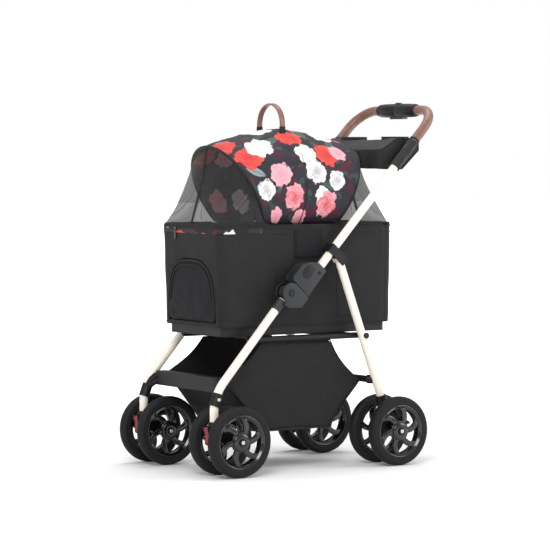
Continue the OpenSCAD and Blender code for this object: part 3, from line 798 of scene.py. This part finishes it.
def handle():
    """The seam of the leather wrap, dark collars, and the moulded grip with its parting line."""
    start, tilt = WRAP_START, PUSH_TILT
    for side, sign in SIDES.items():
        for k, t in enumerate((start - 6 * MM, start + 2 * MM)):
            at = Vector((sign * abs(TRACK_X), FOLD.y + t * math.cos(tilt) - PUSH_OFFSET * math.sin(tilt),
                         FOLD.z + t * math.sin(tilt) + PUSH_OFFSET * math.cos(tilt)))
            profile = [(-3, 11.1), (-3, 13.6), (-2, 14.2), (2, 14.2), (3, 13.6), (3, 11.1)]
            collar = lathe(f"{side}_collar_{k}", [(a * MM, r * MM) for a, r in profile], (0, 0, 0), "Z",
                           closed=True)
            collar.data.transform(Matrix.Translation(at) @ Matrix.Rotation(tilt - math.pi / 2, 4, "X"))
            piece(collar, "push_frame", "black_plastic")
    body = [(-84, 13.3), (-84, 16), (-81, 17), (-79.5, 15.6), (-77, 18.2), (-50, 19.3), (-2, 19.7),
            (-0.8, 19.2),
            (0.8, 19.2), (2, 19.7), (50, 19.3), (77, 18.2), (79.5, 15.6), (81, 17), (84, 16), (84, 13.3)]
    grip = lathe("fold_grip_shell", [(x * MM, (r - 0.6) * MM) for x, r in body], GRIP)
    piece(grip, "push_frame", "black_plastic", replaces=["fold_grip"])
    seam = [
        Vector((-(88 + k * 0.7) * MM, GRIP.y + 13.1 * MM * math.sin(0.4), GRIP.z - 13.1 * MM))
        for k in range(26)
    ]
    piece(tube("wrap_seam", seam, 0.7 * MM), "push_frame", "leather", "leather")


# ---------------------------------------------------------------- parent tray

def parent_tray():
    """Organiser between the push tubes: soft tray, slanted top, cup wells and sleeves."""
    half = 149 * MM
    outline = [(206, 787), (268, 787), (322, 836), (322, 868), (250, 868), (207, 842)]
    path = []
    for (y0, z0), (y1, z1) in zip(outline, outline[1:] + outline[:1]):
        path += [(lerp(y0, y1, t), lerp(z0, z1, t)) for t in (0, 0.04, 0.35, 0.65, 0.96)]
    rows = []
    for i in range(25):
        x = lerp(-half, half, i / 24)
        sag = 1 - (x / half) ** 4
        row = [mm(x / MM, y + (2 * sag if y < 215 else 0), z - (5 if z > 830 else -1) * sag) for y,
               z in path]
        rows.append(row + [row[0]])
    body = cloth("tray_body", rows, thick=2 * MM)
    ripple(body, 3 * MM, 22, 3)
    piece(body, "push_frame", "black_fabric", "tray_fabric", replaces=["parent_tray"])
    for sign in (-1, 1):
        well = [(0, 4), (0, 33.5), (64, 34), (66, 35.5), (66, 37), (62, 37), (2, 36.5), (-2, 36), (-2, 4)]
        cup = lathe(f"cup_well_{sign}", [(a * MM, r * MM) for a, r in well],
                    (sign * 96 * MM, 284 * MM, 807 * MM), "Z", 48, True)
        piece(cup, "push_frame", "black_fabric", "tray_fabric")
        side = [(y * MM, z * MM) for y, z in outline]
        panel = slab(f"tray_side_{sign}", side, *sorted((sign * 147.5 * MM, sign * 150 * MM)), 0.8 * MM, 2)
        piece(panel, "push_frame", "black_fabric", "tray_fabric")
        edge = [Vector((sign * 150 * MM, y * MM, z * MM)) for y, z in outline]
        piece(tube(f"tray_piping_{sign}", edge, 1.8 * MM, closed=True), "push_frame", "black_fabric",
              "binding")
        ring = []
        for k in range(13):
            t = lerp(470, 562, k / 12)
            row = []
            for j in range(25):
                a = 2 * math.pi * j / 24
                r = 13.6 + 0.8 * math.sin(k * 1.9) + 0.6 * math.sin(3 * a + k)
                n0 = -30 + r * math.cos(a)
                y = FOLD.y / MM + t * math.cos(PUSH_TILT) - n0 * math.sin(PUSH_TILT)
                z = FOLD.z / MM + t * math.sin(PUSH_TILT) + n0 * math.cos(PUSH_TILT)
                row.append(mm(sign * 175 + r * math.sin(a), y, z))
            ring.append(row)
        piece(cloth(f"tray_sleeve_{sign}", ring, thick=1 * MM), "push_frame", "black_fabric", "tray_fabric")
        web = []
        for k in range(9):
            t = lerp(470, 562, k / 8)
            y = FOLD.y / MM + t * math.cos(PUSH_TILT) + 30 * math.sin(PUSH_TILT)
            z = FOLD.z / MM + t * math.sin(PUSH_TILT) - 30 * math.cos(PUSH_TILT)
            far = mm(sign * 149, min(322, max(206, y)), min(868, max(800, z)))
            near = mm(sign * 164, y, z)
            web.append([near, (near + far) / 2 - mm(0, 0, 1.5), far])
        piece(cloth(f"tray_web_{sign}", web, thick=1.5 * MM), "push_frame", "black_fabric", "tray_fabric")


# ---------------------------------------------------------------- cabin

def rim_ring(z, front, side=0.0, rear=0.0, radius=24.0, steps=8):
    """Rounded rectangle round the cabin at height z (mm), pushed out by front, side and rear (mm)."""
    x, y0, y1 = HALF_W / MM + side, FRONT_Y / MM - front, REAR_Y / MM + rear
    ring = []
    corners = [(x - radius, y1 - radius, 0), (-x + radius, y1 - radius, 90),
               (-x + radius, y0 + radius, 180), (x - radius, y0 + radius, 270)]
    for k, (cx, cy, a0) in enumerate(corners):
        for i in range(steps + 1):
            a = math.radians(a0 + 90 * i / steps)
            ring.append(mm(cx + radius * math.cos(a), cy + radius * math.sin(a), z))
        nx, ny, na = corners[(k + 1) % 4]
        start = ring[-1]
        end = mm(nx + radius * math.cos(math.radians(na)), ny + radius * math.sin(math.radians(na)), z)
        ring += [start.lerp(end, i / 14) for i in range(1, 14)]
    return ring


def door_outline(grow=0.0, steps=40):
    """Arch of the front door and its straight foot, from the bottom corner at +X (x, z in metres)."""
    w, h, z0 = 114 + grow, 160 + grow, 392
    points = []
    for k in range(steps + 1):
        a = math.pi * k / steps
        c, s = math.cos(a), max(0.0, math.sin(a))
        points.append((w * math.copysign(abs(c) ** 0.65, c) * MM,
                       (z0 + h * s ** 0.65 - grow * (1 - s)) * MM))
    foot = [(lerp(points[-1][0], points[0][0], k / 12), points[0][1]) for k in range(1, 12)]
    return points + foot


def front_y(z):
    """Where the cabin's front face is at height z (metres)."""
    flare = [(380, 0), (440, 1.5), (520, 4), (598, 7), (643, 8)]
    for (z0, a), (z1, b) in zip(flare, flare[1:]):
        if z <= z1 * MM:
            return FRONT_Y - lerp(a, b, max(0.0, (z / MM - z0) / (z1 - z0))) * MM
    return FRONT_Y - 8 * MM


def cabin():
    """Fabric walls flared a little at the rim, with the arched door opening cut in front."""
    rows = []
    for z in (379, 384, 410, 440, 480, 520, 560, 598, 620, 641):
        out = (FRONT_Y - front_y(z * MM)) / MM
        rows.append([*rim_ring(z, out, 0.3 * out / 8, out * 0.8)])
    rows = [row + [row[0]] for row in rows]
    wall = cloth("cabin_walls", rows, thick=3 * MM, smooth=1)
    ripple(wall, 1.6 * MM, 16, 1)
    hole = door_outline(2.0)
    cutter = slab("cutter", [(x, z) for x, z in hole], -0.33, -0.27, 0)
    cutter.data.transform(Matrix(((0, 1, 0, 0), (1, 0, 0, 0), (0, 0, 1, 0), (0, 0, 0, 1))))
    clean(cutter)
    modify(wall, "BOOLEAN", object=cutter, operation="DIFFERENCE", solver="EXACT")
    bpy.data.objects.remove(cutter)
    piece(wall, "carrier", "black_fabric",
          replaces=["cabin_front", "cabin_rear", "cabin_left", "cabin_right"])

    rim = [row + [row[0]] for row in (rim_ring(641, 8.6, 1.6, 7), rim_ring(643, 7, 0, 5),
                                      rim_ring(641, 2, -5, 0))]
    piece(cloth("cabin_rim", rim, thick=1.5 * MM), "carrier", "black_fabric", "binding")
    for name, z, out, r in (("rim_zip", 636, 8.6, 1.7), ("rim_seam", 619, 8.2, 1.1),
                            ("foot_seam", 398, 1.0, 0.9), ("foot_edge", 384, 1.0, 1.6)):
        ring = [p for p in rim_ring(z, out if z > 500 else 0.8, 1.4, 7 if z > 500 else 0.6)]
        piece(tube(name, ring, r * MM, closed=True, sides=2), "carrier", "black_fabric", "binding")

    band = []
    for z in (620.5, 627, 634):
        ring = rim_ring(z, 9.0, 1.8, 7.2)
        band.append([p for p in ring if p.y < -0.146])
    first = next(i for i, (a, b) in enumerate(zip(band[0], band[0][1:])) if (a - b).length > 0.05) + 1 \
        if any((a - b).length > 0.05 for a, b in zip(band[0], band[0][1:])) else 0
    band = [row[first:] + row[:first] for row in band]
    uvs = []
    for row in band:
        run = 0.0
        for j, p in enumerate(row):
            run += (p - row[j - 1]).length if j else 0
            uvs.append((abs((run + 0.09) % 0.6 - 0.3) - 0.14,
                        0.1 + (p.z - 0.62) + 0.05 * math.sin(run * 9)))
    strip = cloth("rim_band", band, thick=0.8 * MM, smooth=0, uvs=uvs)
    piece(strip, "carrier", "floral_fabric")

    for side, sign in SIDES.items():
        x = sign * (HALF_W / MM + 1.2)
        for k, (y, bow) in enumerate(((-146, 5), (64, -5))):
            seam = [mm(x, y + bow * math.sin(math.pi * t / 12), lerp(394, 616, t / 12)) for t in range(13)]
            piece(tube(f"{side}_panel_seam_{k}", seam, 1.1 * MM, sides=2), "carrier", "black_fabric",
                  "binding")
        pocket = [[mm(x + sign * (1.4 + 1.5 * math.sin(math.pi * i / 6)), lerp(-74, 6, j / 8),
                      lerp(556, 628, i / 6)) for j in range(9)]
                  for i in range(7)]
        piece(cloth(f"{side}_pocket", pocket, thick=1 * MM), "carrier", "black_fabric", "pocket_mesh")
        loop = [mm(x + sign * 2.2, y, z) for y, z in ((-76, 630), (-76, 554), (8, 554), (8, 630))]
        piece(tube(f"{side}_pocket_edge", loop, 1.3 * MM, sides=2), "carrier", "black_fabric", "binding")


def door():
    """Padded arch door: quilted bulge inside a double row of piping. It hangs from its foot seam."""
    outline = door_outline(-0.5)
    centre = (0.0, 0.392 + 0.078)
    rows = []
    for k in range(11):
        s = 1 - k / 10
        row = []
        for x, z in outline:
            px, pz = centre[0] + (x - centre[0]) * s, centre[1] + (z - centre[1]) * s
            bulge = 4.5 * (1 - s ** 5) - (1.4 if k == 2 else 0)
            row.append(Vector((px, front_y(pz) - bulge * MM, pz)))
        rows.append(row + [row[0]])
    pad = cloth("door_pad", rows, thick=0, smooth=1)
    clean(pad)
    sewn = [v.index for v in pad.data.vertices if v.co.y > front_y(v.co.z) - 1.2 * MM]
    puff(pad, sewn, pressure=0.6)
    modify(pad, "SOLIDIFY", thickness=2.5 * MM, offset=0)
    ripple(pad, 1.5 * MM, 30, 5)
    piece(pad, "front_door", "black_fabric", "pocket_mesh", replaces=["front_door"])
    for k, grow in enumerate((-2.0, -14.0)):
        arch = [Vector((x, front_y(z) - (3.2 + 1.4 * k) * MM, z)) for x, z in door_outline(grow)[2:39]]
        piece(tube(f"door_piping_{k}", arch, (2.3 - 0.7 * k) * MM, sides=3), "front_door", "black_fabric",
              "binding")
    tab = slab("door_tab", [(-305 * MM, 398 * MM), (-297 * MM, 398 * MM), (-297 * MM, 406 * MM),
                            (-305 * MM, 406 * MM)],
               -14 * MM, 14 * MM, 1.5 * MM)
    piece(tab, "front_door", "black_fabric", "binding")


# ---------------------------------------------------------------- canopy

def hoop_point(foot_y, lean, height, radius, a):
    h = height - radius + radius * math.sin(a)
    return Vector((radius * math.cos(a), foot_y + h * math.sin(lean), RIM_Z + h * math.cos(lean)))


def hood_point(s, a_share):
    """A point on the hood: s from front hoop (0) to rear hoop (1), a_share from the +X foot (0) up and over."""
    swell = math.sin(math.pi * s)
    height, radius = HOOP_H + (3 + 22 * swell) * MM, HOOP_R + (3.5 + 3 * swell) * MM
    a0 = -math.asin((height - radius) / radius)
    a = a0 + (math.pi - 2 * a0) * a_share
    lean = lerp(FRONT_LEAN, REAR_LEAN, s)
    foot = lerp(FRONT_FOOT_Y, REAR_FOOT_Y, s)
    return hoop_point(foot, lean, height, radius, a)


def hood():
    """Rose-print hood in two halves that meet on the middle seam, each stretched by its own hoop."""
    steps = 44
    halves = (("hood_front", 0.0, 0.5, "front_hoop"), ("hood_rear", 0.5, 1.0, "rear_hoop"))
    for name, s0, s1, hoop in halves:
        rows, uvs = [], []
        for i in range(12):
            s = lerp(s0, s1, i / 11)
            row = [hood_point(s, j / steps) for j in range(steps + 1)]
            run = [0.0]
            for a, b in zip(row, row[1:]):
                run.append(run[-1] + (b - a).length)
            for j, p in enumerate(row):
                slack = 3.0 * math.sin(math.pi * (i / 11)) * math.sin(math.pi * j / steps) * MM
                p -= Vector((0, 0, slack))
                uvs.append(((s - 0.5) * 0.36, run[-1] / 2 - run[j]))
            rows.append(row)
        half = cloth(name, rows, thick=1 * MM, smooth=1, uvs=uvs)
        ripple(half, 3 * MM, 20, 7 if hoop == "front_hoop" else 11)
        piece(half, None, "floral_fabric")
        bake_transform(half)
    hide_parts("hood")
    for name, s, body in (("hood_front_piping", 0.0, "front_hoop"), ("hood_rear_piping", 1.0, "rear_hoop")):
        path = [hood_point(s, lerp(0.01, 0.99, j / 60)) for j in range(61)]
        piece(tube(name, path, 2.6 * MM, sides=3), body, "black_fabric", "binding")
    seam = [hood_point(0.5, lerp(0.0, 1.0, j / 60)) - Vector((0, 0, 1.5 * MM)) for j in range(61)]
    piece(tube("hood_seam", seam, 1.1 * MM, sides=2), "carrier", "floral_fabric", "binding")


def end_mesh(name, foot_y, lean, end_y):
    """Net window from a hoop down to the rim, with a strap down its middle and piping along the rim."""
    steps, levels = 36, 12
    x = HALF_W - 4 * MM
    side = abs(end_y - foot_y)
    total = 2 * side + 2 * x
    way = math.copysign(1, end_y - foot_y)
    top, low = [], []
    a0 = -math.asin((HOOP_H - HOOP_R) / HOOP_R)
    for k in range(steps + 1):
        top.append(hoop_point(foot_y, lean, HOOP_H, HOOP_R, a0 + (math.pi - 2 * a0) * k / steps))
        d = total * k / steps
        if d < side:
            low.append(Vector((x, foot_y + way * d, RIM_Z)))
        elif d < side + 2 * x:
            low.append(Vector((x - (d - side), end_y, RIM_Z)))
        else:
            low.append(Vector((-x, end_y - way * (d - side - 2 * x), RIM_Z)))
    rows = []
    for i in range(levels + 1):
        t = i / levels
        dip = 5 * math.sin(math.pi * t) * MM
        rows.append([a.lerp(b, t) - Vector((0, way * dip, 0)) for a, b in zip(top, low)])
    uvs = [(p.x, p.z - p.y) for row in rows for p in row]
    sheet = cloth(name + "_panel", rows, thick=0, smooth=1, uvs=uvs)
    ripple(sheet, 2 * MM, 18, 4)
    piece(sheet, None, "mesh_fabric", replaces=[name])
    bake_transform(sheet)
    strap = [[row[steps // 2] + Vector((x * MM, way * 1.5 * MM, 0)) for x in (-5, 0, 5)] for row in rows]
    band = cloth(name + "_strap", strap, thick=1 * MM)
    piece(band, None, "black_fabric", "binding")
    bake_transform(band)
    edge = tube(name + "_piping", [p + Vector((0, 0, 0.5 * MM)) for p in low], 2 * MM, sides=2)
    piece(edge, "carrier", "black_fabric", "binding")


def carry_handle():
    """Leather strap loop with black tabs that sew it to the hood."""
    y, z, r = -54, 904, 54.5
    path = [(r, 884 + 4 * k) for k in range(5)]
    path += [(r * math.cos(a), z + r * math.sin(a)) for a in (math.pi * k / 28 for k in range(29))]
    path += [(-r, 900 - 4 * k) for k in range(5)]
    rows = [[mm(px, y + w, pz) for w in (-7.5, -4, 0, 4, 7.5)] for px, pz in path]
    strap = cloth("carry_strap", rows, thick=3.4 * MM)
    piece(strap, "carry_handle", "leather", replaces=["carry_handle"])
    for k, w in enumerate((-5.8, 5.8)):
        stitch = [mm(px * 1.035, y + w, z + (pz - z) * 1.035 if pz > z else pz) for px, pz in path[4:-4]]
        piece(tube(f"carry_stitch_{k}", stitch, 0.5 * MM, sides=1), "carry_handle", "leather")
    for sign in (-1, 1):
        tab = [(y + w, pz) for w, pz in ((-8.5, 880), (8.5, 880), (8.5, 899), (-8.5, 899))]
        made = slab(f"carry_tab_{sign}", [(a * MM, b * MM) for a, b in tab],
                    *sorted((sign * 51.5 * MM, sign * 57.5 * MM)), 1.2 * MM, 2)
        piece(made, "carry_handle", "black_fabric", "binding")


# ---------------------------------------------------------------- basket

def edge_points(corners, pull, steps=8):
    """Straight runs between corners, each pulled towards the middle of the panel as stretched cloth is."""
    middle = Vector((0, -60, 215))
    path = []
    for a, b in zip(corners, corners[1:]):
        a, b = mm(0, *a), mm(0, *b)
        for k in range(steps):
            t = k / steps
            p = a.lerp(b, t)
            path.append(p + (middle * MM - p).normalized() * pull * 4 * t * (1 - t) * MM)
    return path + [mm(0, *corners[-1])]


def basket():
    """Sling basket: two side panels with hollow edges and a sagging floor, bound round every edge."""
    half = 142 * MM
    front = edge_points([(-178, 336), (-298, 243), (-185, 106)], 11)
    rear = edge_points([(39, 336), (135, 224), (39, 106)], 11)
    made = []
    for side, sign in SIDES.items():
        rows = []
        for k, (a, b) in enumerate(zip(front, rear)):
            v = k / (len(front) - 1)
            row = []
            for j in range(21):
                u = j / 20
                p = a.lerp(b, u)
                p.x = sign * (half - 5 * MM * math.sin(math.pi * u) * math.sin(math.pi * v))
                p.z += 5 * MM * math.sin(math.pi * u) * (v ** 3)
                row.append(p)
            rows.append(row)
        panel = cloth(f"{side}_basket_panel", rows, thick=1.2 * MM)
        ripple(panel, 2.4 * MM, 14, 2 + sign)
        piece(panel, None, "black_fabric")
        edge = [Vector((sign * half, p.y, p.z)) for p in (front + rear[::-1])]
        binding = tube(f"{side}_basket_binding", edge, 1.7 * MM, closed=True, sides=2)
        piece(binding, None, "black_fabric", "binding")
        made += [panel, binding]
    run = edge_points([(-298, 243), (-185, 106), (39, 106), (135, 224)], 5)
    rows = []
    for k, p in enumerate(run):
        sag = 7 * math.sin(math.pi * k / (len(run) - 1))
        rows.append([Vector((lerp(-half, half, j / 16), p.y, p.z - sag * MM * math.sin(math.pi * j / 16)))
                     for j in range(17)])
    sling = cloth("basket_sling", rows, thick=0)
    sides = [v.index for v in sling.data.vertices if abs(v.co.x) > half - 1 * MM or v.co.z > 0.215]
    puff(sling, sides)
    modify(sling, "SOLIDIFY", thickness=1.4 * MM, offset=0)
    ripple(sling, 2.5 * MM, 12, 9)
    piece(sling, None, "black_fabric", replaces=["basket"])
    for obj in [*made, sling]:
        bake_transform(obj)


# ---------------------------------------------------------------- room, light and camera

def studio():
    floor = mesh_object("studio_floor", [(-30, -30, 0), (30, -30, 0), (30, 30, 0), (-30, 30, 0)],
                        [(0, 1, 2, 3)])
    paper = Shader("studio paper", rough=0.9)
    tone = paper.node("ShaderNodeTexNoise")
    tone.inputs["Scale"].default_value = 2.0
    paper.link(paper.coords(), tone.inputs["Vector"])
    paper.link(ramp(paper, tone.outputs["Fac"], (0.86, 0.86, 0.86), (0.9, 0.9, 0.9)),
               paper.bsdf.inputs["Base Color"])
    away = paper.node("ShaderNodeVectorMath", operation="LENGTH")
    paper.link(paper.coords(), away.inputs[0])
    fade = paper.node("ShaderNodeMapRange", interpolation_type="SMOOTHSTEP")
    fade.inputs["From Min"].default_value = 0.7
    fade.inputs["From Max"].default_value = 3.0
    paper.link(away.outputs["Value"], fade.inputs["Value"])
    paper.bsdf.inputs["Emission Color"].default_value = (1, 1, 1, 1)
    paper.link(fade.outputs["Result"], paper.bsdf.inputs["Emission Strength"])
    floor.data.materials.append(paper.mat)
    world = bpy.data.worlds.new("studio")
    world.use_nodes = True
    tree = world.node_tree
    tree.nodes["Background"].inputs["Color"].default_value = (1, 1, 1, 1)
    path = tree.nodes.new("ShaderNodeLightPath")
    strength = tree.nodes.new("ShaderNodeMapRange")
    strength.inputs["To Min"].default_value = 0.6
    strength.inputs["To Max"].default_value = 1.0
    tree.links.new(path.outputs["Is Camera Ray"], strength.inputs["Value"])
    tree.links.new(strength.outputs["Result"], tree.nodes["Background"].inputs["Strength"])
    bpy.context.scene.world = world
    for name, place, size, power in (("key", (3.2, -3.0, 3.4), 2.2, 150),
                                     ("fill", (2.5, 3.2, 2.0), 2.5, 70),
                                     ("top", (-0.6, 0.4, 3.6), 2.5, 70)):
        light = bpy.data.lights.new(name, "AREA")
        light.size, light.energy = size, power
        obj = bpy.data.objects.new(name, light)
        bpy.context.collection.objects.link(obj)
        obj.location = place
        obj.rotation_euler = (Vector((0, 0, 0.5)) - Vector(place)).to_track_quat("-Z", "Y").to_euler()
    lens = bpy.data.cameras.new("camera")
    lens.lens, lens.sensor_width, lens.clip_end = 172.7, 36, 200
    camera = bpy.data.objects.new("camera", lens)
    bpy.context.collection.objects.link(camera)
    camera.location = (5.847, -3.940, 0.835)
    aim = Vector((0, -0.041, 0.504)) - camera.location
    camera.rotation_euler = aim.to_track_quat("-Z", "Y").to_euler()
    scene = bpy.context.scene
    scene.camera = camera
    scene.view_settings.view_transform = "Standard"


dress_cad()
wheels()
crossbar_trim()
frame_joints()
handle()
parent_tray()
cabin()
door()
hood()
end_mesh("front_mesh", FRONT_FOOT_Y, FRONT_LEAN, FRONT_Y - 3 * MM)
end_mesh("rear_mesh", REAR_FOOT_Y, REAR_LEAN, REAR_Y + 1 * MM)
carry_handle()
basket()
studio()
